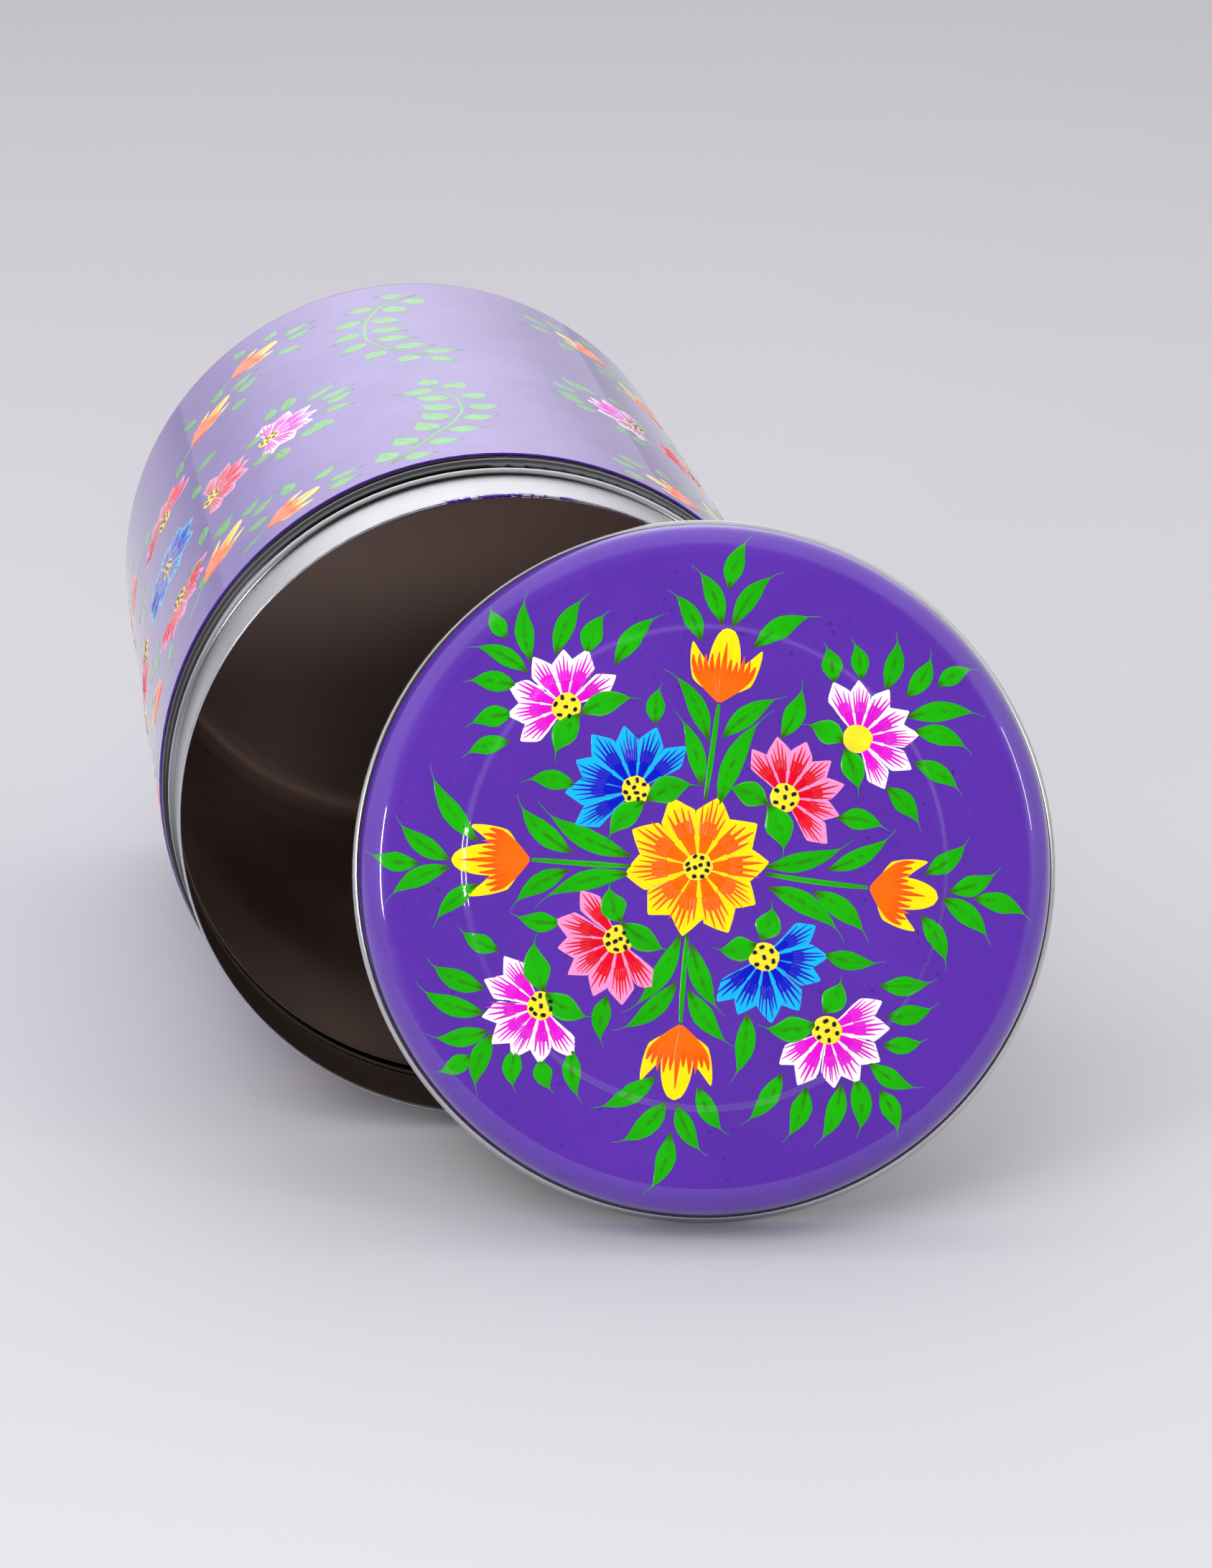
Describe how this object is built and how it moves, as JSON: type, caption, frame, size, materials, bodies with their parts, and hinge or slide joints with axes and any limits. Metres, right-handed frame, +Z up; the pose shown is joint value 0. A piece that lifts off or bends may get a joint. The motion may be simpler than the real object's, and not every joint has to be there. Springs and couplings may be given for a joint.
{
  "type": "tea caddy",
  "caption": "Round lacquered steel tea caddy lying on its side, its push-on lid standing on edge against the open mouth.",
  "frame": {"origin": "on the table, under the middle of the box that holds the lying canister and its standing lid", "axes": "+Z up; the canister's axis lies along Y, its mouth faces -Y and its base faces +Y; +X is to the right of someone who looks into the mouth"},
  "size_m": [0.1372, 0.2067, 0.109],
  "materials": {
    "canister_steel": "bare drawn stainless steel, brushed neck, polished rolls",
    "canister_paint": "glossy purple lacquer, hand-painted flowers and leaves",
    "lid_steel": "bare drawn stainless steel with a curled edge",
    "lid_paint": "glossy purple lacquer, hand-painted flowers and leaves"
  },
  "bodies": {
    "canister": {"canister_shell": "canister_steel", "canister_lacquer": "canister_paint"},
    "lid": {"lid_shell": "lid_steel", "lid_lacquer": "lid_paint"}
  },
  "joints": [
    {"name": "lid_lift", "type": "slide", "parent": "canister", "child": "lid", "axis": [0, 0, 1], "range_m": [0, 0.15]}
  ]
}
